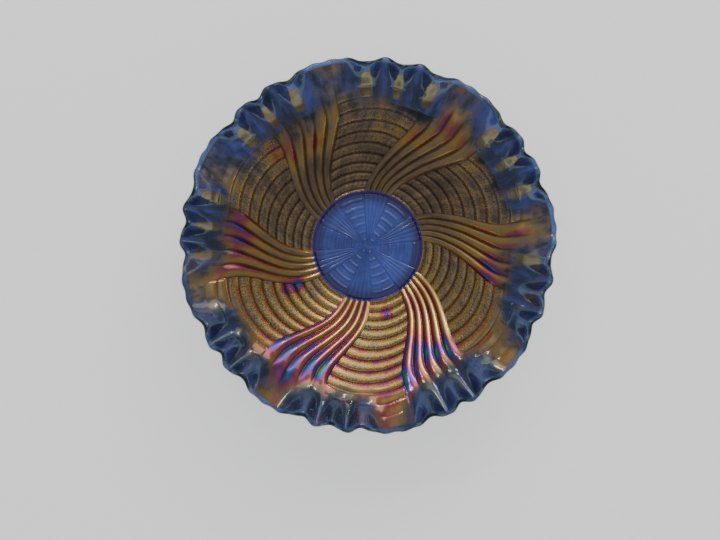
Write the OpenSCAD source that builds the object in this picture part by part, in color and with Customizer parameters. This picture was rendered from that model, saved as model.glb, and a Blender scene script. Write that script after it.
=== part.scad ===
// Pressed art-glass bowl. Six swirled ribbons alternate with six rippled panels around a
// medallion, and a crimped edge sets one broad lobe against three narrow ridges, eight times.
// Millimetres, +Z up, origin at the centre of the foot on the table.

/* [Foot and well] */
// Outer radius of the collar base
foot_r = 35.5; // [34.5:0.5:37]
// Thickness of the collar base, measured along a radius
foot_w = 4; // [3:0.5:5]
// Height of the collar base, which is the depth of the recess under the well
foot_h = 5.5; // [5:0.5:8]
// How much the collar base narrows towards the table
foot_draft = 0.6; // [0:0.1:1]
// Radius of the flat well inside, the size of the medallion
well_r = 33; // [31:0.5:34]
// Thickness of the glass in the well
floor_t = 4.5; // [3.5:0.5:6]

/* [Wall] */
// Radius where the plain wall ends and the crimping starts
wall_r = 86; // [82:1:90]
// Final slope of the wall, in degrees
wall_slope = 32; // [28:1:36]
// Distance over which the wall curves up out of the well
wall_ease = 6; // [4:0.5:9]
// Thickness of the glass in the wall
wall_t = 4.5; // [3.5:0.5:6]

/* [Crimped rim] */
// Number of broad lobes, each followed by three ridges
lobes = 8; // [6:1:10]
// Length of glass from the wall to the edge
rim_len = 28; // [22:1:30]
// Length over which the crimping takes up its own slope
rim_ease = 10; // [6:1:14]
// Thickness of the glass at the edge, which is fully rounded
rim_t = 4; // [3:0.5:5]
// Slope of a broad lobe
lobe_slope = 15; // [10:1:24]
// Slope of a narrow ridge
ridge_slope = 45; // [36:1:48]
// How far the troughs between the ridges drop back towards the lobe
trough_depth = 0.7; // [0.3:0.05:0.8]
// Direction of the first broad lobe, in degrees
lobe_start = 11.2; // [0:0.1:45]
// How far the hand crimping wanders along the edge, in degrees
crimp_wander = 4.5; // [0:0.5:5]
// Height of the small moulded scallops along the edge
scallop_h = 0.4; // [0:0.1:0.8]

/* [Ribbons] */
// Number of ribbons, with a rippled panel after each
ribbons = 6; // [4:1:8]
// Number of rounded ridges side by side in a ribbon
ridges = 5; // [3:1:6]
// Direction of the middle of the first ribbon at the well
ribbon_start = 20.2; // [0:0.1:59]
// Angle that a ribbon takes up
ribbon_span = 28; // [24:1:32]
// Angle that a ribbon sweeps on its way out
swirl = 23; // [0:1:30]
// How far the shaping by hand has pulled the ribbons round towards one side, in degrees
swirl_wander = 2.6; // [0:0.2:3]
// Height of a ribbon's bed above the wall
ribbon_bed = 0.9; // [0.3:0.1:1]
// Height of a ridge above the bed
ridge_h = 1.2; // [0.6:0.1:1.6]

/* [Ripples] */
// Number of ripples in a panel
ripples = 8; // [5:1:10]
// Radius of the first groove
ripple_start = 35.6; // [34.5:0.1:37]
// Plain wall left between the last ripple and the crimping
ripple_stop = 6.4; // [6:0.1:12]
// How much the ripples widen towards the rim, as a share of the first one
ripple_growth = 0.056; // [0:0.002:0.08]
// How far the ripples bow outwards in mid-panel, per millimetre from the well
ripple_bow = 0.065; // [0:0.005:0.065]
// Height of a ripple's crest above the wall
ripple_h = 1.1; // [0.6:0.1:1.4]

/* [Medallion] */
// Height of the relief in the well
relief_h = 0.5; // [0.3:0.1:0.8]
// Number of short ripples in each panel of the medallion
short_ripples = 6; // [3:1:6]

/* [Hidden] */
$fn = 96;

glass_blue = [0.16, 0.24, 0.52];
rim_blue = [0.13, 0.17, 0.33];
foot_violet = [0.17, 0.10, 0.42];
lustre_bronze = [0.42, 0.33, 0.18];
lustre_gold = [0.62, 0.47, 0.22];
lustre_olive = [0.50, 0.44, 0.24];

floor_top = foot_h + floor_t;
sector = 360 / ribbons;
ridge_pitch = ribbon_span / ridges;
panel_span = sector - ribbon_span;
edge_columns = 256;
edge_scallops = 64;
rim_rows = 6;
ridge_steps = 4;
ribbon_rows = 9;
ribbon_inset = 0.5;
panel_columns = 6;
// Angle left free along each side of a rippled panel
panel_gap = 0.8;
wall_steps = 8;
// The swirl starts inside the well and is over just before the crimping
swirl_inside = 6;
swirl_short = 2;
// Direction that the ribbons are pulled towards, and the distance over which that sets in
wander_towards = 225;
wander_ease = 20;

// Eases from 0 to 1 with level ends
function smooth(t) = let (c = min(1, max(0, t))) c * c * (3 - 2 * c);

// Slope of the wall's inner face at radius r, in degrees
function wall_tilt(r) = atan(tan(wall_slope) * (1 - exp(-(r - well_r) / wall_ease)));

// Height of the wall's inner face at radius r
function wall_rise(r) =
    let (run = r - well_r)
    floor_top + tan(wall_slope) * (run - wall_ease * (1 - exp(-run / wall_ease)));

// The wall's inner face, with its points closer together near the well
wall_face = [
    for (i = [0:wall_steps])
        let (r = well_r + (wall_r - well_r) * pow(i / wall_steps, 2))
        [r, wall_rise(r)]
];

// A point that lies a given depth below a face point (negative is into the bowl's hollow)
function sunk(p, tilt, depth) = p + depth * [sin(tilt), -cos(tilt)];

// A profile point turned to an angle about the bowl's axis
function turned(p, angle) = [p[0] * cos(angle), p[0] * sin(angle), p[1]];

// A point of the wall's relief: h above the inner face at radius r
function relief_point(r, angle, h) =
    turned(sunk([r, lookup(r, wall_face)], wall_tilt(r), -h), angle);

// Angle that the pattern has swept at radius r, on the line that leaves the well at a given angle
function swept(r, angle) =
    let (from = well_r - swirl_inside, to = wall_r - swirl_short)
    swirl_wander * cos(angle - swirl - wander_towards) * smooth((r - well_r) / wander_ease)
        - swirl * smooth((r - from) / (to - from));

// Closed solid between two grids of points that have the same number of rows and columns
module slab(top, back) {
    rows = len(top);
    cols = len(top[0]);
    half = rows * cols;
    points = [for (grid = [top, back]) for (row = grid) for (p = row) p];
    skins = [
        for (i = [0:rows - 2]) for (j = [0:cols - 2])
            let (a = i * cols + j, b = a + 1, c = a + cols, d = c + 1)
            each [
                [a, b, d], [a, d, c],
                [half + a, half + d, half + b], [half + a, half + c, half + d]
            ]
    ];
    // The border runs once around the grid, so that one strip closes all four sides
    border = concat(
        [for (j = [0:cols - 2]) j],
        [for (i = [0:rows - 2]) i * cols + cols - 1],
        [for (j = [cols - 1:-1:1]) (rows - 1) * cols + j],
        [for (i = [rows - 1:-1:1]) i * cols]
    );
    sides = [
        for (k = [0:len(border) - 1])
            let (a = border[k], b = border[(k + 1) % len(border)])
            each [[a, half + a, half + b], [a, half + b, b]]
    ];
    polyhedron(points, concat(skins, sides), convexity = 6);
}

// Closed ring through a list of loops of points
module ring(loops) {
    turns = len(loops);
    n = len(loops[0]);
    faces = [
        for (i = [0:turns - 1]) for (j = [0:n - 1])
            let (
                a = i * n + j, b = i * n + (j + 1) % n,
                c = ((i + 1) % turns) * n + j, d = ((i + 1) % turns) * n + (j + 1) % n
            )
            each [[a, b, d], [a, d, c]]
    ];
    polyhedron([for (loop = loops) for (p = loop) p], faces, convexity = 10);
}

// Where an angle falls in the crimping: whole numbers are the middles of the broad lobes
function crimp_phase(angle) =
    (angle - lobe_start + crimp_wander * cos(angle + 15)) * lobes / 360;

// Crimping from 0 in the middle of a broad lobe to 1 on a ridge
function crimp(angle) =
    let (
        u = crimp_phase(angle) - floor(crimp_phase(angle)),
        from_group = abs(u - 0.5),
        from_lobe = min(u, 1 - u),
        group_half = 0.225,
        flatness = 1.8
    )
    from_group < group_half
        ? 1 - trough_depth * (1 - cos(360 * from_group / group_half)) / 2
        : pow((1 - cos(180 * from_lobe / (0.5 - group_half))) / 2, flatness);

// Slope of the rim's inner face at a distance s from the wall
function rim_tilt(s, angle) =
    let (wall_end = wall_tilt(wall_r))
    wall_end
        + (lobe_slope + (ridge_slope - lobe_slope) * crimp(angle) - wall_end) * smooth(s / rim_ease);

// Point of the rim's inner face, found by stepping out from the wall
function rim_point(step, length, angle) =
    step == 0
        ? [wall_r / cos(180 / edge_columns), wall_rise(wall_r)]
        : let (tilt = rim_tilt(length * (step - 0.5) / rim_rows, angle))
            rim_point(step - 1, length, angle) + length / rim_rows * [cos(tilt), sin(tilt)];

// Cross-section of the rim at an angle: inner face, rounded edge, outer face
function rim_section(angle) =
    let (
        length = rim_len - rim_t / 2 + scallop_h * cos(edge_scallops * angle),
        face = [for (i = [0:rim_rows]) rim_point(i, length, angle)],
        tilts = [for (i = [0:rim_rows]) rim_tilt(length * i / rim_rows, angle)],
        depth = [for (i = [0:rim_rows]) wall_t + (rim_t - wall_t) * i / rim_rows],
        edge = sunk(face[rim_rows], tilts[rim_rows], rim_t / 2),
        round = [
            for (turn = [45, 0, -45])
                let (way = tilts[rim_rows] + turn)
                edge + rim_t / 2 * [cos(way), sin(way)]
        ],
        back = [for (i = [rim_rows:-1:0]) sunk(face[i], tilts[i], depth[i])]
    )
    [for (p = concat(face, round, back)) turned(p, angle)];

// Foot ring that the bowl stands on
module collar_base() {
    inner = foot_r - foot_w;
    lip = 1;
    color(foot_violet)
        rotate_extrude($fn = 180)
            polygon([
                [inner, foot_h], [inner, lip], [inner + lip, 0],
                [foot_r - foot_draft - lip, 0], [foot_r - foot_draft, lip], [foot_r, foot_h]
            ]);
}

// Flat glass under the medallion
module well_floor() {
    color(glass_blue)
        translate([0, 0, foot_h])
            cylinder(r = well_r, h = floor_t, $fn = 180);
}

// Plain flaring wall between the well and the crimping
module bowl_wall() {
    back = [
        for (i = [wall_steps:-1:0])
            let (p = sunk(wall_face[i], wall_tilt(wall_face[i][0]), wall_t))
            if (p[0] > foot_r + 1) p
    ];
    color(lustre_bronze)
        rotate_extrude($fn = 180)
            polygon(concat(wall_face, back, [[foot_r, foot_h], [well_r, foot_h]]));
}

// Edge that was crimped by hand while the glass was hot
module ruffled_rim() {
    color(rim_blue)
        ring([for (i = [0:edge_columns - 1]) rim_section(360 * i / edge_columns)]);
}

// Bundles of fine ridges that run from the centre of the well towards the ribbons
module medallion_rays() {
    start = 3;
    end = well_r - 1;
    start_w = 0.12;
    end_w = 0.9;
    color(glass_blue)
        for (bundle = [0:ribbons - 1]) for (k = [0:ridges - 1])
            rotate(ribbon_start + bundle * sector + (k - (ridges - 1) / 2) * ridge_pitch)
                translate([0, 0, floor_top])
                    linear_extrude(relief_h)
                        polygon([[start, -start_w], [end, -end_w], [end, end_w], [start, start_w]]);
}

// Short curved ripples between the bundles
module medallion_ripples() {
    span = panel_span - ridge_pitch;
    pitch = (well_r - 3) / short_ripples;
    foot = 1.3;
    crest = 0.6;
    color(glass_blue)
        for (panel = [0:ribbons - 1]) for (k = [1:short_ripples])
            rotate(ribbon_start + (panel + 0.5) * sector - span / 2)
                translate([0, 0, floor_top])
                    rotate_extrude(angle = span)
                        translate([pitch * (k - 0.2), 0])
                            polygon([[-foot, 0], [foot, 0], [crest, relief_h], [-crest, relief_h]]);
}

// Raised ribbon of rounded ridges, swept round the wall
module ribbon(n) {
    columns = ridges * ridge_steps;
    last = ribbon_rows - 1;
    function row_r(i) = well_r + ribbon_inset + (wall_r - well_r - 2 * ribbon_inset) * i / last;
    function plain(j) = ribbon_start + (n - 1) * sector + (j / columns - 0.5) * ribbon_span;
    function angle(i, j) = plain(j) + swept(row_r(i), plain(j));
    // Low at the well and at the rim, full between them
    function body(i) = 0.35 + 0.65 * smooth(i / 2) * smooth((last - i) / 2);
    function height(i, j) =
        body(i) * (ribbon_bed + ridge_h * sin(180 * (j % ridge_steps) / ridge_steps));
    function grid(share) = [
        for (i = [0:last])
            [for (j = [0:columns]) relief_point(row_r(i), angle(i, j), share * height(i, j))]
    ];
    color(lustre_gold)
        slab(grid(1), grid(0));
}

// Panel of rounded ripples that follow the rim, between two ribbons
module ripple_panel(n) {
    // Each ripple has three rows, at its groove and at the two shoulders of its crest
    shoulders = [0, 0.25, 0.75];
    function along(k) = k + ripple_growth * k * k / 2;
    function groove(k) =
        ripple_start + (wall_r - ripple_stop - ripple_start) * along(k) / along(ripples);
    function row_r(i) =
        let (k = floor(i / 3))
        groove(k) + (groove(k + 1) - groove(k)) * shoulders[i % 3];
    function across(j) = 2 * j / panel_columns - 1;
    function bowed_r(i, j) = row_r(i) + ripple_bow * (row_r(i) - well_r) * (1 - pow(across(j), 2));
    function plain(j) =
        ribbon_start + (n - 0.5) * sector + across(j) * (panel_span / 2 - panel_gap);
    function angle(i, j) = plain(j) + swept(bowed_r(i, j), plain(j));
    function height(i) = i % 3 == 0 ? ripple_h / 4 : ripple_h;
    function grid(share) = [
        for (i = [0:3 * ripples])
            [for (j = [0:panel_columns]) relief_point(bowed_r(i, j), angle(i, j), share * height(i))]
    ];
    color(lustre_olive)
        slab(grid(1), grid(0));
}

collar_base();
well_floor();
bowl_wall();
ruffled_rim();
medallion_rays();
medallion_ripples();
for (i = [1:ribbons]) ribbon(i);
for (i = [1:ribbons]) ripple_panel(i);
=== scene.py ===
import math

import bpy
import numpy as np
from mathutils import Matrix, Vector


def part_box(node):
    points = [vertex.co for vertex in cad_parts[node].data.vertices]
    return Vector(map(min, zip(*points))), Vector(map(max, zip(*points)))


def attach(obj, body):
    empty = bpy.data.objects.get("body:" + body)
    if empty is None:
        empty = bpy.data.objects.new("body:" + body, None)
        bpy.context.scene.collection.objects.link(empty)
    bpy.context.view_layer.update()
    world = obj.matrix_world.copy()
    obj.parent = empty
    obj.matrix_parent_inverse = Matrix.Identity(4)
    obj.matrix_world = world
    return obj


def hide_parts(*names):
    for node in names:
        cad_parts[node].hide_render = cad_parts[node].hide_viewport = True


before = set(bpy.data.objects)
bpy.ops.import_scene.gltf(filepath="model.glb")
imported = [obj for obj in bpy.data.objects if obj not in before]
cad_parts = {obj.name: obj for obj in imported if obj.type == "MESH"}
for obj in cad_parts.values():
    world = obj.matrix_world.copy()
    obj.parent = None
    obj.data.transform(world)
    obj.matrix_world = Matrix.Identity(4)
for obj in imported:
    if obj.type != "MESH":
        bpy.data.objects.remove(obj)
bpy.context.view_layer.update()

# Lengths are in millimetres until a mesh is made, and angles in degrees unless radians() turns them.
MM = 0.001


def corners(node):
    low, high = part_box(node)
    return np.array(low) / MM, np.array(high) / MM


# ------------------------------------------------------------------ sizes, from the frame
FOOT_R, FOOT_H = corners("collar_base")[1][0], corners("collar_base")[1][2]
WELL_R, FLOOR_TOP = corners("well_floor")[1][0], corners("well_floor")[1][2]
RIBBONS = sum(name.startswith("ribbon_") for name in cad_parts)
SECTOR = 360 / RIBBONS

# ------------------------------------------------------------------ the bowl's own proportions
# Foot ring, and the medallion in the well
FOOT_W = 4.0
FOOT_DRAFT = 0.6
FOOT_LIP = 1.0
MEDALLION_H = 0.5
SHORT_RIPPLES = 6

# Wall: its thickness and slope, how soon it reaches that slope, and the radius where the rim starts
WALL_T = 4.5
WALL_SLOPE = math.radians(32)
WALL_EASE = 6.0
WALL_R = round(corners("bowl_wall")[1][0] - WALL_T * math.sin(WALL_SLOPE), 1)

# Rim: length of glass beyond the wall, how soon it reaches its slope, and its thickness
RIM_LEN = 27.7
RIM_EASE = 10.0
RIM_T = 4.0
EDGE_Q = WALL_R + RIM_LEN
# Crimping: direction of the first broad lobe before handwork moves it, and how far handwork moves
# the lobes, in degrees; then half of a group of three ridges as a share of the way from lobe to lobe
LOBES = 8
LOBE_START, CRIMP_WANDER = 11.2, 4.5
GROUP_HALF = 0.225
LOBE_SLOPE, RIDGE_SLOPE = math.radians(15), math.radians(45)
TROUGH_DEPTH, LOBE_FLATNESS = 0.7, 1.8
SCALLOPS, SCALLOP_H = 64, 0.35

# Ribbons: ridges in each, direction of the first and half its width in degrees
RIDGES = 5
RIBBON_START = 20.2
RIBBON_HALF = 14.0
PANEL_HALF = SECTOR / 2 - RIBBON_HALF
# Swirl: degrees that the pattern turns on its way out, between two radii, and how far it strays
# and towards which direction
SWIRL = 23.0
SWIRL_FROM, SWIRL_TO = WELL_R - 6, WALL_R - 2
SWIRL_WANDER, WANDER_TOWARDS = 2.6, 225
# Height of a ribbon's bed, of its ridges as a share of their width, and the lip along its sides
RIBBON_BED, RIDGE_SHARE = 0.9, 0.22
LIP_H, LIP_W = 0.3, 0.5

# Ripples in each panel: where the first starts, how far the last stops from the rim, how much wider
# each is than the one before as a share of the first, how far they bow, and their height
RIPPLES = 8
RIPPLE_START = 35.6
RIPPLE_STOP = 6.4
RIPPLE_GROWTH = 0.056
RIPPLE_BOW = 0.065
RIPPLE_BED, RIPPLE_H = 0.25, 0.85

# ------------------------------------------------------------------ how fine the meshes are
EASE_STEPS = 16
RIBBON_STEP, RIBBON_COLS = 0.5, 101
PANEL_STEP, PANEL_COLS = 0.4, 81
RIM_COLS, RIM_ROWS, RIM_BACK_ROWS, RIM_EDGE_ROWS = 960, 49, 37, 9
WALL_COLS, WALL_ROWS = 360, 40
MEDALLION_COLS, MEDALLION_ROWS = 720, 100


# ------------------------------------------------------------------ the bowl's surface
def smooth(t):
    t = np.clip(t, 0, 1)
    return t * t * (3 - 2 * t)


def wave(deg):
    """0 to 1 and back again over one turn, starting from 0."""
    return (1 - np.cos(np.radians(deg))) / 2


def wall_tilt(r):
    run = np.maximum(r - WELL_R, 0)
    return np.arctan(math.tan(WALL_SLOPE) * (1 - np.exp(-run / WALL_EASE)))


def wall_rise(r):
    run = np.maximum(r - WELL_R, 0)
    return FLOOR_TOP + math.tan(WALL_SLOPE) * (run - WALL_EASE * (1 - np.exp(-run / WALL_EASE)))


def crimp_phase(deg):
    """Counts the broad lobes: a whole number in the middle of each."""
    return (deg - LOBE_START + CRIMP_WANDER * np.cos(np.radians(deg + 15))) * LOBES / 360


def crimp(deg):
    """0 in the middle of a broad lobe, 1 on a ridge, less in the troughs between the ridges."""
    phase = crimp_phase(deg)
    u = phase - np.floor(phase)
    from_group = np.abs(u - 0.5)
    from_lobe = np.minimum(u, 1 - u)
    ridges = 1 - TROUGH_DEPTH * wave(360 * from_group / GROUP_HALF)
    rising = wave(180 * from_lobe / (0.5 - GROUP_HALF)) ** LOBE_FLATNESS
    return np.where(from_group < GROUP_HALF, ridges, rising)


def lobe(deg):
    """1 in the middle of a broad lobe, 0 all along the ridges."""
    phase = crimp_phase(deg)
    return 1 - smooth(np.abs(phase - np.round(phase)) / (0.5 - GROUP_HALF))


def fold_shade(deg):
    """Mask of painted shade: 1 on the flanks between ridges and troughs, 0 along their middles
    and on the lobes.
    """
    from_group = np.abs(crimp_phase(deg) % 1 - 0.5)
    return np.where(from_group < GROUP_HALF, np.abs(np.sin(2 * np.pi * from_group / GROUP_HALF)), 0)


def base(q, deg):
    """Radius, height and tilt in radians of the plain inner face. q is the radius on the wall, and
    runs on past WALL_R as the length of glass beyond it."""
    q, deg = np.broadcast_arrays(np.asarray(q, float), np.asarray(deg, float))
    r = np.minimum(q, WALL_R)
    z, tilt = wall_rise(r), wall_tilt(r)
    out = q > WALL_R
    if not out.any():
        return r, z, tilt
    s = np.where(out, q - WALL_R, 0)
    start = float(wall_tilt(np.array(WALL_R)))
    goal = LOBE_SLOPE + (RIDGE_SLOPE - LOBE_SLOPE) * crimp(deg)
    eased = np.minimum(s, RIM_EASE)
    straight = s - eased
    for k in range(EASE_STEPS):
        here = start + (goal - start) * smooth(eased * (k + 0.5) / EASE_STEPS / RIM_EASE)
        r = r + np.cos(here) * eased / EASE_STEPS
        z = z + np.sin(here) * eased / EASE_STEPS
    tilt = np.where(out, start + (goal - start) * smooth(s / RIM_EASE), tilt)
    return r + np.cos(goal) * straight, z + np.sin(goal) * straight, tilt


def swept(q, plain_deg):
    """How far the pattern is turned at q, on the line that would lie at plain_deg without the swirl."""
    wander = SWIRL_WANDER * np.cos(np.radians(plain_deg - SWIRL - WANDER_TOWARDS))
    return wander * smooth((q - WELL_R) / 20) - SWIRL * smooth((q - SWIRL_FROM) / (SWIRL_TO - SWIRL_FROM))


def unswept(q, deg):
    """The direction that a point's line has at the well, found by turning back until it settles."""
    plain = deg - swept(q, deg + SWIRL)
    for _ in range(3):
        plain = deg - swept(q, plain)
    return plain


def across(q, deg):
    """Where a point lies in the pattern: -1 to 1 across a ribbon, or -1 to 1 across the panel
    after it, and which of the two it is."""
    w = (unswept(q, deg) - RIBBON_START + RIBBON_HALF) % SECTOR
    in_panel = w > 2 * RIBBON_HALF
    return np.where(in_panel, (w - 2 * RIBBON_HALF) / PANEL_HALF - 1, w / RIBBON_HALF - 1), in_panel


def ribbon_crest(u):
    """0 in the furrows between ridges, 1 along their crests."""
    f = (u + 1) / 2 * RIDGES
    return np.abs(np.sin(np.pi * f)) ** 0.8


def ribbon_relief(q, u):
    half = np.radians(RIBBON_HALF) * q
    ridge = RIDGE_SHARE * 2 * half / RIDGES * ribbon_crest(u)
    lip = LIP_H * np.exp(-((1 - np.abs(u)) * half / LIP_W) ** 2)
    rise = smooth((q - WELL_R + 3) / 8)
    fade = 1 - smooth((q - 76) / 20)
    return fade * ((0.4 + 0.6 * rise) * (RIBBON_BED + ridge) + lip)


def ripple_count(q, u):
    """How many ripples lie between the first groove and a point, as a real number."""
    bow = RIPPLE_BOW * (1 - u * u)
    plain = (q + bow * WELL_R) / (1 + bow)
    last = RIPPLES + RIPPLE_GROWTH * RIPPLES ** 2 / 2
    y = (plain - RIPPLE_START) / (WALL_R - RIPPLE_STOP - RIPPLE_START) * last
    return (np.sqrt(np.maximum(1 + 2 * RIPPLE_GROWTH * y, 0.01)) - 1) / RIPPLE_GROWTH


def ripple_crest(q, u):
    f = ripple_count(q, u) % 1
    return 1 - np.abs(2 * f - 1) ** 2.3


def ripple_relief(q, u, further=0):
    """further is how many more millimetres outwards the relief runs before it dies away."""
    fade = 1 - 0.65 * smooth((q - further - 82) / 10) - 0.35 * smooth((q - further - 94) / 12)
    rise = smooth((q - WELL_R + 1) / 3)
    return fade * (RIPPLE_BED + RIPPLE_H * (0.3 + 0.7 * rise) * ripple_crest(q, u))


def relief(q, deg):
    u, in_panel = across(q, deg)
    return np.where(in_panel, ripple_relief(q, u, 9 * lobe(deg)), ribbon_relief(q, u))


# ------------------------------------------------------------------ the lustre
# Places where the sprayed film is thicker: direction, radius, size in mm and how far the colour moves on
PATCHES = (
    (133, 77, 10, 0.26), (118, 70, 7, 0.24), (67, 74, 9, 0.18), (55, 85, 9, 0.22),
    (168, 82, 7, 0.16), (176, 78, 8, 0.20), (352, 75, 8, 0.22), (346, 75, 6, 0.14),
    (237, 93, 8, 0.14), (247, 81, 5, 0.22), (251, 76, 6, 0.10), (261, 65, 8, 0.12),
    (294, 67, 6, 0.16), (299, 75, 5, 0.28), (306, 77, 5, 0.22), (308, 86, 7, 0.12), (287, 83, 8, 0.16),
    (286, 44, 4, 0.30), (209, 49, 4, 0.50), (207, 57, 5, 0.34), (35, 81, 9, 0.14), (81, 76, 9, 0.12),
)


def flank(q, deg):
    """1 on one flank of a ridge or ripple, 0 on its crest, -1 on the other flank."""
    u, in_panel = across(np.minimum(q, WALL_R), deg)
    return np.sin(2 * np.pi * np.where(in_panel, ripple_count(q, u), (u + 1) / 2 * RIDGES))


def low_side(deg):
    """1 very nearly towards -Y and 0 on the other side. Towards -Y the film's colours move on, partly
    its own hues and partly painted light: lighter gold and pink for the lamps that this side reflects.
    """
    return (1 - np.sin(np.radians(deg + 5))) / 2


def film(q, deg, crest):
    """How far the film has gone through its colours, which follows its thickness. It gets thicker outwards,
    and differs between the flanks of each ridge and ripple. Towards -Y the colours also move on to lighter
    gold and pink, partly the film's own hues and partly painted light for the lamps that this side
    reflects."""
    in_panel = across(np.minimum(q, WALL_R), deg)[1]
    r = base(np.minimum(q, EDGE_Q), deg)[0]
    low = low_side(deg)
    outward = smooth((q - 58) / 30)
    # Partly painted light: the colours move on towards -Y, lighter where the lamps are reflected
    phase = 0.02 + 0.19 * low ** 1.5 + 0.08 * outward * (0.4 + 0.6 * low)
    outer = smooth((q - 52) / 24)
    ribbon = 0.12 * low + (0.09 - 0.04 * low) * outer + 0.08 * (1 - crest)
    ribbon = ribbon + (0.03 + 0.06 * low + (0.02 + 0.03 * low) * outer) * flank(q, deg)
    ripple = 0.05 * (1 - crest) + (0.03 + 0.09 * low * outer) * flank(q, deg)
    pattern = 1 - smooth((q - 80 - 12 * lobe(deg)) / 14)
    phase = phase + pattern * np.where(in_panel, ripple, ribbon)
    x, y = r * np.cos(np.radians(deg)), r * np.sin(np.radians(deg))
    for towards, radius, size, shift in PATCHES:
        a = np.radians(towards)
        away = ((x - radius * np.cos(a)) ** 2 + (y - radius * np.sin(a)) ** 2) / size ** 2
        phase = phase + shift * np.exp(-away)
    return phase


def cover(q, deg):
    """Share of the surface that the film hides: all of it near the well, and less towards the edge,
    where the lobes keep the most."""
    low = low_side(deg)
    edge = smooth((q - EDGE_Q + 4) / 2.5)
    start, length = 66 + 15 * low ** 2 + 5 * lobe(deg), 32 - 14 * low ** 2
    kept = (0.30 + 0.15 * low) * lobe(deg) * (1 - edge)
    return 1 - (0.92 - 0.12 * low - kept) * smooth((q - start) / length)


def reflection_pad(q, deg):
    """Painted reflection: pale pads along the ridges of the crimped edge, wider at the inner end,
    and fuller on the +Y side."""
    out = q - WALL_R
    width = (1 - crimp(deg)) / (0.24 - 0.006 * out)
    length = (out - 13) / 9.5
    side = 0.15 + 0.85 * smooth((np.sin(np.radians(deg)) + 0.35) / 0.45)
    return side * smooth((1.3 - width ** 2 - length ** 4) / 0.9)


def surface_fields(q, deg, crest):
    q, deg, crest = np.broadcast_arrays(q, deg, crest)
    line = np.radians(unswept(np.minimum(q, WALL_R), deg))
    return {
        "crest": crest, "reach": q, "line_x": np.cos(line), "line_y": np.sin(line),
        "film": film(q, deg, crest), "cover": cover(q, deg), "reflection_pad": reflection_pad(q, deg), "fold_shade": fold_shade(deg) + 0 * q,
    }


def pattern_crest(q, deg):
    """Crests of ribbons and ripples together. Their furrows die away on the rim."""
    u, in_panel = across(np.minimum(q, WALL_R), deg)
    crest = np.where(in_panel, ripple_crest(q, u), ribbon_crest(u))
    return 1 - (1 - crest) * (1 - smooth((q - 82 - 10 * lobe(deg)) / 16))


def place(r, z, deg):
    a = np.radians(deg)
    return np.stack([r * np.cos(a), r * np.sin(a), z + 0 * a], -1)


def inner_point(q, deg, h):
    """A point h above the plain inner face, along its normal."""
    r, z, tilt = base(q, deg)
    return place(r - h * np.sin(tilt), z + h * np.cos(tilt), deg)


# ------------------------------------------------------------------ meshes
def grid_normals(points, wrap):
    """Unit normals of a grid of points, from its own differences. wrap joins the last column to
    the first."""
    down = np.gradient(points, axis=0)
    if wrap:
        along = (np.roll(points, -1, 1) - np.roll(points, 1, 1)) / 2
    else:
        along = np.gradient(points, axis=1)
    n = np.cross(down, along)
    return n / np.maximum(np.linalg.norm(n, axis=-1, keepdims=True), 1e-12)


def quads_of(rows, cols, wrap):
    i, j = np.meshgrid(np.arange(rows - 1), np.arange(cols if wrap else cols - 1), indexing="ij")
    k = (j + 1) % cols
    return np.stack([i * cols + j, (i + 1) * cols + j, (i + 1) * cols + k, i * cols + k], -1).reshape(-1, 4)


def make_mesh(name, points, faces, normals, fields):
    """points (n, 3) in millimetres, faces (m, 4) with -1 in the last place of a triangle,
    normals one per face corner, fields {name: one value per point}."""
    mesh = bpy.data.meshes.new(name)
    counts = (faces >= 0).sum(1)
    corner_points = faces[faces >= 0]
    mesh.vertices.add(len(points))
    mesh.vertices.foreach_set("co", (points * MM).astype(np.float32).ravel())
    mesh.loops.add(len(corner_points))
    mesh.loops.foreach_set("vertex_index", corner_points.astype(np.int32))
    mesh.polygons.add(len(faces))
    mesh.polygons.foreach_set("loop_start", np.concatenate([[0], np.cumsum(counts)[:-1]]).astype(np.int32))
    mesh.update(calc_edges=True)
    mesh.validate()
    mesh.polygons.foreach_set("use_smooth", np.ones(len(faces), bool))
    mesh.normals_split_custom_set(normals[faces >= 0].tolist())
    for field, values in fields.items():
        attribute = mesh.attributes.new(field, "FLOAT", "POINT")
        attribute.data.foreach_set("value", values.astype(np.float32).ravel())
    piece = bpy.data.objects.new(name, mesh)
    bpy.context.scene.collection.objects.link(piece)
    return piece


def face_normals(points, faces):
    a, b, c = points[faces[:, 0]], points[faces[:, 1]], points[faces[:, 2]]
    n = np.cross(b - a, c - a)
    return n / np.maximum(np.linalg.norm(n, axis=-1, keepdims=True), 1e-12)


def slab(name, q, deg, height, fields):
    """A closed piece of relief on the wall. q and deg are grids of rows (outwards) and columns, with one
    spare row and column on each side, from which the normals at the border are taken."""
    top = inner_point(q, deg, height)
    back = inner_point(q, deg, 0 * height)
    inside = (slice(1, -1), slice(1, -1))
    n_top, n_back = grid_normals(top, False)[inside], -grid_normals(back, False)[inside]
    top, back = top[inside], back[inside]
    rows, cols = top.shape[:2]
    half = rows * cols
    points = np.concatenate([top.reshape(-1, 3), back.reshape(-1, 3)])
    up = quads_of(rows, cols, False)
    border = np.concatenate([
        np.arange(cols - 1),
        np.arange(rows - 1) * cols + cols - 1,
        (rows - 1) * cols + np.arange(cols - 1, 0, -1),
        np.arange(rows - 1, 0, -1) * cols,
    ])
    after = np.roll(border, -1)
    sides = np.stack([border, after, after + half, border + half], -1)
    faces = np.concatenate([up, up[:, ::-1] + half, sides])
    flat = np.repeat(face_normals(points, sides)[:, None], 4, 1)
    normals = np.concatenate([
        n_top.reshape(-1, 3)[up], n_back.reshape(-1, 3)[up[:, ::-1]], flat,
    ])
    doubled = {key: np.tile(value[inside].ravel(), 2) for key, value in fields.items()}
    return make_mesh(name, points, faces, normals, doubled)


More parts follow.
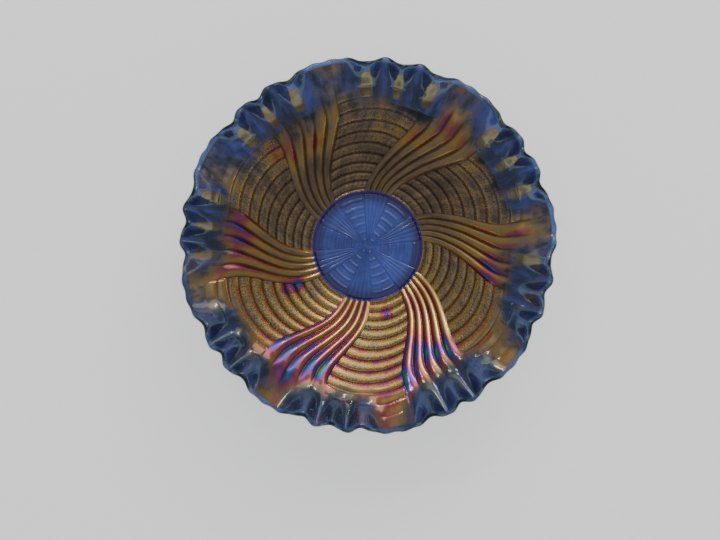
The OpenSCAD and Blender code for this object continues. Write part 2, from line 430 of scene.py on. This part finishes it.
def turned_piece(name, loop, sharp, fields, poles=False):
    """A closed piece that goes right round the axis. loop is a grid: rows follow the section, columns the
    angle. sharp lists the rows where the section has a corner. With poles, the first and last rows are
    closed with a fan to the axis, and otherwise the section is a closed loop."""
    rows, cols = loop.shape[:2]
    points = loop.reshape(-1, 3)
    faces, normals = [], []
    spans = list(zip(sharp, sharp[1:] + ([] if poles else [sharp[0] + rows])))
    for start, end in spans:
        index = np.arange(start, end + 1) % rows
        n = grid_normals(loop[index], True)
        local = quads_of(len(index), cols, True)
        faces.append(index[local // cols] * cols + local % cols)
        normals.append(n.reshape(-1, 3)[local])
    values = {key: value.ravel() for key, value in fields.items()}
    if poles:
        for row, step in ((0, 1), (rows - 1, -1)):
            centre = loop[row].mean(0)
            ring = row * cols + np.arange(cols)
            points = np.concatenate([points, centre[None]])
            j = ring[::step]
            fan = np.stack([np.full(cols, len(points) - 1), j, np.roll(j, -1), np.full(cols, -1)], -1)
            flat = np.array([0, 0, 1.0 if row == 0 else -1.0])
            faces.append(fan)
            normals.append(np.broadcast_to(flat, (cols, 4, 3)))
            values = {key: np.append(v, v[row * cols]) for key, v in values.items()}
    return make_mesh(name, points, np.concatenate(faces), np.concatenate(normals), values)


def pattern_grid(middle, half, step, cols):
    """Rows outwards and columns across for a ribbon or a panel. middle and half are its middle
    direction and half its width in degrees, and a spare row and column go all round. Gives q, the
    place across and the direction."""
    rows = int((WALL_R - WELL_R) / step) + 1
    q = WELL_R + (WALL_R - WELL_R) / (rows - 1) * np.arange(-1, rows + 1)[:, None]
    du = 2 / (cols - 1)
    u = np.concatenate([[-1 - du], np.linspace(-1, 1, cols), [1 + du]])[None, :]
    plain = middle + u * half
    return q + 0 * u, np.clip(u, -1, 1), plain + swept(q, plain)


def ribbon_piece(i):
    q, u, deg = pattern_grid(RIBBON_START + i * SECTOR, RIBBON_HALF, RIBBON_STEP, RIBBON_COLS)
    fields = surface_fields(q, deg, ribbon_crest(u))
    return slab(f"ribbon_{i + 1}", q, deg, ribbon_relief(q, u), fields)


def panel_piece(i):
    q, u, deg = pattern_grid(RIBBON_START + (i + 0.5) * SECTOR, PANEL_HALF, PANEL_STEP, PANEL_COLS)
    fields = surface_fields(q, deg, ripple_crest(q, u))
    return slab(f"ripples_{i + 1}", q, deg, ripple_relief(q, u), fields)


def directions(cols):
    """A row of directions that goes once round."""
    return np.arange(cols)[None, :] * 360 / cols


def rim_piece():
    deg = directions(RIM_COLS)
    length = RIM_LEN - RIM_T / 2 + SCALLOP_H * np.cos(np.radians(SCALLOPS * deg))
    inner = np.linspace(0, 1, RIM_ROWS)[:, None]
    q = WALL_R + length * inner
    face = inner_point(q, deg, relief(q, deg) * (1 - smooth((inner - 0.85) / 0.15)))
    # The edge is a half round between the inner and the outer face
    r, z, tilt = base(WALL_R + length, deg)
    half = RIM_T / 2
    turn = np.radians(np.linspace(90, -90, RIM_EDGE_ROWS + 2))[1:-1, None]
    mid_r, mid_z = r + half * np.sin(tilt), z - half * np.cos(tilt)
    edge = place(mid_r + half * np.cos(tilt + turn), mid_z + half * np.sin(tilt + turn), deg)
    outer = np.linspace(1, 0, RIM_BACK_ROWS)[:, None]
    q_out = WALL_R + length * outer
    outside = inner_point(q_out, deg, (WALL_T - RIM_T) * outer - WALL_T)
    loop = np.concatenate([face, edge, outside])
    reach = np.concatenate([q, 0 * turn + WALL_R + length, q_out])
    fields = surface_fields(reach, deg, pattern_crest(reach, deg))
    fields["back"] = np.zeros(reach.shape)
    fields["back"][len(face) + len(edge) // 2:] = 1
    # The painted reflection pads are weaker on the outside of the rim
    fields["reflection_pad"] = fields["reflection_pad"] * (1 - 0.8 * fields["back"])
    return turned_piece("ruffled_rim", loop, [0, len(loop) - 1], fields)


def wall_piece():
    """The wall's outside stops at the foot, and its underside is flat from there in to the well."""
    deg = directions(WALL_COLS)
    q = np.linspace(WELL_R, WALL_R, WALL_ROWS)[:, None]
    face = inner_point(q, deg, 0 * q * deg)
    r, z, tilt = base(q[::-1, :1], 0.0)
    r_out, z_out = (r + WALL_T * np.sin(tilt))[:, 0], (z - WALL_T * np.cos(tilt))[:, 0]
    beyond_foot = r_out > FOOT_R + 1
    back_r = np.concatenate([r_out[beyond_foot], [FOOT_R, WELL_R]])[:, None]
    back_z = np.concatenate([z_out[beyond_foot], [FOOT_H, FOOT_H]])[:, None]
    loop = np.concatenate([face, place(back_r, back_z + 0 * deg, deg)])
    reach = np.concatenate([q + 0 * deg, back_r + 0 * deg])
    fields = surface_fields(reach, deg, 0 * reach)
    fields["back"] = np.zeros(reach.shape)
    fields["back"][len(face):] = 1
    n = len(face)
    return turned_piece("bowl_wall", loop, [0, n - 1, n, len(loop) - 2, len(loop) - 1], fields)


def collar_piece():
    deg = directions(WALL_COLS)
    inner, outer = FOOT_R - FOOT_W, FOOT_R - FOOT_DRAFT
    turn = np.radians(np.linspace(0, 90, 7))
    hollow, bulge = FOOT_LIP * (1 - np.cos(turn)), FOOT_LIP * (1 - np.sin(turn))
    r = np.concatenate([[inner], inner + hollow, outer - bulge, [FOOT_R]])[::-1, None]
    z = np.concatenate([[FOOT_H], bulge, hollow, [FOOT_H]])[::-1, None]
    loop = place(r, z + 0 * deg, deg)
    reach = r + 0 * deg
    return turned_piece("collar_base", loop, [0, len(loop) - 1], {"crest": 0 * reach, "reach": reach})


def medallion_relief(r, deg):
    """Fine rays in six bundles, and short ripples between them."""
    u, in_panel = across(np.minimum(r, SWIRL_FROM), deg)
    rays = (0.35 + 0.65 * ribbon_crest(u)) * smooth(r / 6)
    ripple = r * SHORT_RIPPLES / (WELL_R - 3) + 0.2
    from_crest = np.abs((ripple + 0.5) % 1 - 0.5) * 2
    bands = (1 - smooth(from_crest / 0.55)) * smooth((1 - np.abs(u)) / 0.25) * smooth((r - 2) / 3)
    return MEDALLION_H * np.where(in_panel, bands, rays) * (1 - smooth((r - WELL_R + 1.2) / 1.2))


def medallion_piece():
    """The well's floor with the medallion on it, as one disc."""
    deg = directions(MEDALLION_COLS)
    r = np.concatenate([[0.15], np.linspace(0.5, WELL_R, MEDALLION_ROWS)])[:, None]
    h = medallion_relief(r, deg)
    r_under = np.linspace(WELL_R, 0.5, 12)[:, None]
    flat = 0 * r_under * deg
    loop = np.concatenate([place(r, FLOOR_TOP + h, deg), place(r_under, FOOT_H + flat, deg)])
    fields = {
        "crest": np.concatenate([h / MEDALLION_H, flat]),
        "reach": np.concatenate([r, r_under]) + 0 * deg,
    }
    n = len(r)
    return turned_piece("medallion", loop, [0, n - 1, n, len(loop) - 1], fields, poles=True)


# ------------------------------------------------------------------ materials
class Graph:
    """Short names for the nodes of a new material, or of the world."""

    def __init__(self, owner, shader="Principled BSDF"):
        owner.use_nodes = True
        self.owner = owner
        self.tree = owner.node_tree
        self.shader = self.tree.nodes[shader]
        self.coords = self.node("ShaderNodeTexCoord").outputs
        self.place = self.coords["Object"]

    def node(self, kind, **settings):
        n = self.tree.nodes.new(kind)
        for key, value in settings.items():
            setattr(n, key, value)
        return n

    def feed(self, socket, value):
        if isinstance(value, bpy.types.NodeSocket):
            self.tree.links.new(value, socket)
        else:
            socket.default_value = value

    def set(self, **inputs):
        for key, value in inputs.items():
            self.feed(self.shader.inputs[key.replace("_", " ")], value)

    def field(self, name):
        return self.node("ShaderNodeAttribute", attribute_name=name).outputs["Fac"]

    def math(self, operation, a, b=0.0, clamp=False):
        n = self.node("ShaderNodeMath", operation=operation, use_clamp=clamp)
        self.feed(n.inputs[0], a)
        self.feed(n.inputs[1], b)
        return n.outputs[0]

    def span(self, value, low, high, to_low=0.0, to_high=1.0):
        n = self.node("ShaderNodeMapRange", interpolation_type="SMOOTHSTEP")
        for socket, number in zip(n.inputs, (value, low, high, to_low, to_high)):
            self.feed(socket, number)
        return n.outputs[0]

    def join(self, x, y, z):
        n = self.node("ShaderNodeCombineXYZ")
        for socket, number in zip(n.inputs, (x, y, z)):
            self.feed(socket, number)
        return n.outputs[0]

    def noise(self, vector, scale, detail, roughness):
        n = self.node("ShaderNodeTexNoise")
        self.feed(n.inputs["Vector"], vector)
        n.inputs["Scale"].default_value = scale
        n.inputs["Detail"].default_value = detail
        n.inputs["Roughness"].default_value = roughness
        return n.outputs["Fac"]

    def ramp(self, value, stops):
        n = self.node("ShaderNodeValToRGB")
        self.feed(n.inputs["Fac"], value)
        elements = n.color_ramp.elements
        while len(elements) < len(stops):
            elements.new(1.0)
        for element, (at, color) in zip(elements, stops):
            element.position = at
            element.color = (*color, 1)
        return n.outputs["Color"]

    def mix(self, share, a, b):
        n = self.node("ShaderNodeMix", data_type="RGBA")
        self.feed(n.inputs["Factor"], share)
        for name, value in (("A", a), ("B", b)):
            socket = next(i for i in n.inputs if i.name == name and i.type == "RGBA")
            self.feed(socket, (*value, 1) if isinstance(value, tuple) else value)
        return next(o for o in n.outputs if o.type == "RGBA")

    def bump(self, height, distance, strength):
        n = self.node("ShaderNodeBump")
        n.inputs["Strength"].default_value = strength
        n.inputs["Distance"].default_value = distance
        self.feed(n.inputs["Height"], height)
        return n.outputs["Normal"]


COBALT = (0.078, 0.124, 0.47)
RIM_GLASS = (0.036, 0.050, 0.190)
RIM_DARK = (0.014, 0.016, 0.038)
EDGE_BLUE = (0.095, 0.145, 0.34)
# Painted shade for the film's furrows and pits
FURROW_SHADE = (0.030, 0.014, 0.020)
FOOT_VIOLET = (0.040, 0.022, 0.25)
RING_VIOLET = (0.060, 0.018, 0.27)
SMOKE = (0.050, 0.030, 0.085)
# Colours of the painted reflection pads along the rim's ridges
PAD_REFLECTION = (0.33, 0.31, 0.17)
PAD_REFLECTION_BRONZE = (0.26, 0.15, 0.08)
GLASS_IOR, FILM_IOR = 1.52, 1.62
# Where the film starts, just outside the medallion, and where the clearer blue of the edge starts
FILM_FROM, FILM_WHOLE = 33.8, 34.8
EDGE_FROM, EDGE_WHOLE = EDGE_Q - 3.5, EDGE_Q - 2.2

# The colours that a film of tin oxide takes as it gets thicker
FILM_COLOURS = (
    (0.00, (0.27, 0.20, 0.135)),
    (0.12, (0.47, 0.34, 0.205)),
    (0.24, (0.64, 0.42, 0.12)),
    (0.34, (0.60, 0.23, 0.115)),
    (0.44, (0.48, 0.11, 0.19)),
    (0.54, (0.25, 0.08, 0.37)),
    (0.64, (0.09, 0.14, 0.45)),
    (0.74, (0.07, 0.33, 0.37)),
    (0.84, (0.30, 0.48, 0.18)),
    (0.94, (0.68, 0.46, 0.15)),
    (1.00, (0.62, 0.24, 0.30)),
)


def tinted(color, share):
    return tuple(min(1, share * c) for c in color)


def film_colour(g, clouds, streaks, grain, stipple):
    """The film's own colour, with painted shade darkening its furrows and pits."""
    phase = g.math("ADD", g.field("film"), g.span(clouds, 0.3, 0.7, -0.05, 0.05))
    phase = g.math("ADD", phase, g.span(streaks, 0.3, 0.7, -0.07, 0.07))
    speck = g.span(grain, 0.3, 0.7, -0.03 * stipple, 0.03 * stipple)
    colour = g.ramp(g.math("ADD", phase, speck, clamp=True), FILM_COLOURS)
    furrow_shade = g.span(g.field("crest"), 0.0, 0.75, 0.34, 1.0)
    pit_shade = g.span(grain, 0.36, 0.56, 1 - 0.35 * stipple, 1.0)
    return g.mix(g.math("MULTIPLY", furrow_shade, pit_shade), FURROW_SHADE, colour)


def glass_colour(g, clouds, streaks):
    """The glass of the rim: streaky, with painted shade on the flanks of its folds, and a clearer
    blue along the edge.
    """
    depths = g.mix(g.span(streaks, 0.35, 0.62), RIM_DARK, RIM_GLASS)
    # Painted shade: the flanks of the rim's folds are darkened towards RIM_DARK
    depths = g.mix(g.math("MULTIPLY", g.field("fold_shade"), 0.75), depths, RIM_DARK)
    edge = g.mix(g.span(clouds, 0.38, 0.58), tinted(EDGE_BLUE, 0.25), EDGE_BLUE)
    return g.mix(g.span(g.field("reach"), EDGE_FROM, EDGE_WHOLE), depths, edge)


def lustre(name, gloss, stipple):
    """Cobalt glass under a metallic film. gloss is the film's roughness, stipple the depth of its grain."""
    g = Graph(bpy.data.materials.new(name))
    # Streaks run outwards along the swirl
    along = g.join(
        g.math("MULTIPLY", g.field("line_x"), 7.0),
        g.math("MULTIPLY", g.field("line_y"), 7.0),
        g.math("MULTIPLY", g.field("reach"), 0.035),
    )
    clouds = g.noise(g.place, 34, 3, 0.55)
    streaks = g.noise(along, 2.2, 3, 0.6)
    grain = g.noise(g.place, 1150, 1.5, 0.6)
    # The outside was never sprayed, and only the mist that drifted round the edge dulls the blue
    wear = g.math("ADD", g.span(streaks, 0.3, 0.7, -0.1, 0.1), g.span(clouds, 0.35, 0.65, -0.16, 0.16))
    covered = g.math("ADD", g.field("cover"), wear, clamp=True)
    covered = g.math("MULTIPLY", covered, g.span(g.field("back"), 0.0, 1.0, 1.0, 0.32))
    hidden = g.span(covered, 0.15, 0.95)
    # Painted reflection: pale pads along the ridges, ragged at their borders
    painted_pad = g.math("ADD", g.field("reflection_pad"), g.math("MULTIPLY", wear, 0.9))
    painted_pad = g.math("MULTIPLY", g.span(painted_pad, 0.2, 0.9, 0.0, 0.85), g.span(g.field("reflection_pad"), 0.0, 0.2))
    pad_reflection_colour = g.mix(g.span(streaks, 0.42, 0.62, 0.0, 0.8), PAD_REFLECTION, PAD_REFLECTION_BRONZE)
    # Next to the medallion the film is missing, and the foot makes the glass look darker
    bare = g.span(g.field("reach"), FILM_FROM, FILM_WHOLE, 1.0, 0.0)
    body = g.mix(hidden, glass_colour(g, clouds, streaks), film_colour(g, clouds, streaks, grain, stipple))
    body = g.mix(bare, g.mix(painted_pad, body, pad_reflection_colour), RING_VIOLET)
    metal = g.math("MAXIMUM", g.math("MULTIPLY", hidden, 0.9), painted_pad)
    clear = g.math("MULTIPLY", g.span(covered, 0.1, 0.55, 1.0, 0.0), g.math("SUBTRACT", 1.0, painted_pad))
    rough = g.span(grain, 0.3, 0.7, gloss * 0.75, gloss * 1.25)
    g.set(
        Base_Color=body,
        Metallic=g.math("MULTIPLY", metal, g.math("SUBTRACT", 1.0, bare)),
        Transmission_Weight=clear,
        Roughness=g.math("ADD", rough, g.math("MULTIPLY", painted_pad, 0.12)),
        IOR=GLASS_IOR,
        Thin_Film_Thickness=g.span(streaks, 0.3, 0.7, 240, 270),
        Thin_Film_IOR=FILM_IOR,
        Normal=g.bump(grain, 0.00012, stipple) if stipple else g.bump(clouds, 0.0006, 0.3),
    )
    return g.owner


def cobalt_glass(name, color, film_from, film_to):
    """Blue glass that the film reaches only between two radii, in millimetres, near its border. A
    piece that lies inside the first radius has no film."""
    g = Graph(bpy.data.materials.new(name))
    swirls = g.noise(g.place, 60, 3, 0.6)
    depth = g.mix(g.span(swirls, 0.35, 0.65), tinted(color, 0.75), tinted(color, 1.3))
    # Painted highlight: the crests of the medallion's relief are paler
    crest_highlight = tuple(min(1, 2.2 * c + 0.02) for c in color)
    body = g.mix(g.span(g.field("crest"), 0.0, 1.0, 0.0, 0.2), depth, crest_highlight)
    haze = g.span(g.field("reach"), film_from, film_to, 0.0, 0.7)
    haze = g.math("MULTIPLY", haze, g.span(swirls, 0.2, 0.7, 0.5, 1.0))
    ring = g.span(g.field("reach"), film_to, film_to + 0.8)
    g.set(
        Base_Color=g.mix(ring, g.mix(haze, body, SMOKE), RING_VIOLET),
        Metallic=g.math("MULTIPLY", haze, 0.3),
        Transmission_Weight=g.span(haze, 0.0, 1.0, 0.45, 0.1),
        Roughness=g.span(swirls, 0.3, 0.7, 0.06, 0.14),
        IOR=GLASS_IOR,
        Coat_Weight=0.3,
        Coat_Roughness=0.04,
        Normal=g.bump(swirls, 0.0004, 0.25),
    )
    return g.owner


# ------------------------------------------------------------------ the pieces
def put(piece, slot, material, *nodes):
    piece.data.materials.append(material)
    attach(piece, "root")
    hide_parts(*nodes)


put(collar_piece(), "violet_foot", cobalt_glass("violet_glass", FOOT_VIOLET, 60, 70), "collar_base")
put(wall_piece(), "lustre_bronze", lustre("lustre_bronze", 0.2, 0), "bowl_wall")
put(rim_piece(), "blue_rim", lustre("lustre_rim", 0.12, 0), "ruffled_rim")
put(
    medallion_piece(), "blue_medallion", cobalt_glass("cobalt_glass", COBALT, 25, 31.6),
    "well_floor", "medallion_rays", "medallion_ripples",
)
ribbon_lustre = lustre("lustre_gold", 0.18, 0.2)
panel_lustre = lustre("lustre_olive", 0.26, 1)
for i in range(RIBBONS):
    put(ribbon_piece(i), "lustre_gold", ribbon_lustre, f"ribbon_{i + 1}")
    put(panel_piece(i), "lustre_olive", panel_lustre, f"ripples_{i + 1}")


# ------------------------------------------------------------------ floor, light and camera
def floor():
    """A matt pale sheet that glows, so that it stays light all round the bowl."""
    bpy.ops.mesh.primitive_plane_add(size=6, location=(0, 0, 0))
    piece = bpy.context.object
    piece.name = "floor"
    g = Graph(bpy.data.materials.new("floor"))
    mottle = g.noise(g.place, 3, 2, 0.5)
    g.set(
        Base_Color=g.mix(mottle, (0.905, 0.905, 0.915), (0.935, 0.935, 0.935)),
        Roughness=0.9,
        Emission_Color=(0.98, 0.98, 1.0, 1),
        Emission_Strength=0.72,
    )
    piece.data.materials.append(g.owner)


floor()


# Lamps: places and sizes in metres, power in watts
LIT_POINT = (0, 0, 0.02)
KEY_SIZE, GLINT_SIZE = (1.20, 0.80), (0.26, 0.06)


def area_light(name, at, size, power, color=(1, 1, 1)):
    data = bpy.data.lights.new(name, "AREA")
    data.shape = "RECTANGLE"
    data.size, data.size_y = size
    data.energy = power
    data.color = color
    lamp = bpy.data.objects.new(name, data)
    bpy.context.scene.collection.objects.link(lamp)
    lamp.location = at
    lamp.rotation_euler = (Vector(LIT_POINT) - Vector(at)).to_track_quat("-Z", "Y").to_euler()


area_light("key", (0.48, 1.20, 1.05), KEY_SIZE, 3.4, color=(1.0, 0.95, 0.86))
area_light("glint_left", (-0.45, 0.95, 1.35), GLINT_SIZE, 1.2)
area_light("glint_right", (0.50, 1.15, 0.75), GLINT_SIZE, 1.4)


def studio():
    """Soft light from all around: bright low down, a window high on the +Y side, and a dim ceiling."""
    world = bpy.data.worlds.new("studio")
    bpy.context.scene.world = world
    g = Graph(world, "Background")
    way = g.node("ShaderNodeSeparateXYZ")
    g.feed(way.inputs[0], g.coords["Generated"])
    x, y, z = way.outputs
    horizon = g.math("MULTIPLY", g.span(z, 0.12, 0.20, 1.0, 0.0), g.span(y, -0.5, 0.7, 1.05, 0.5))
    window = g.math("MULTIPLY", g.span(y, 0.35, 0.85, 0.0, 0.70), g.span(z, 0.1, 0.45, 0.15, 1.0))
    aside = g.math("ABSOLUTE", g.math("SUBTRACT", x, 0.15))
    window = g.math("MULTIPLY", window, g.span(aside, 0.25, 0.7, 1.0, 0.1))
    overhead = g.span(z, 0.86, 0.97, 0.24, 0.45)
    strength = g.math("ADD", g.math("ADD", horizon, window), overhead)
    g.set(Color=(0.96, 0.98, 1.0, 1), Strength=strength)


studio()

# The camera looks straight down from about a metre up, with +Y at the top. Sensor and lens in mm
CAMERA_AT = (-0.00465, -0.0147, 0.997)
SENSOR_W, LENS = 36, 79.9


def camera():
    data = bpy.data.cameras.new("camera")
    data.sensor_width = SENSOR_W
    data.lens = LENS
    eye = bpy.data.objects.new("camera", data)
    eye.location = CAMERA_AT
    bpy.context.scene.collection.objects.link(eye)
    bpy.context.scene.camera = eye


camera()
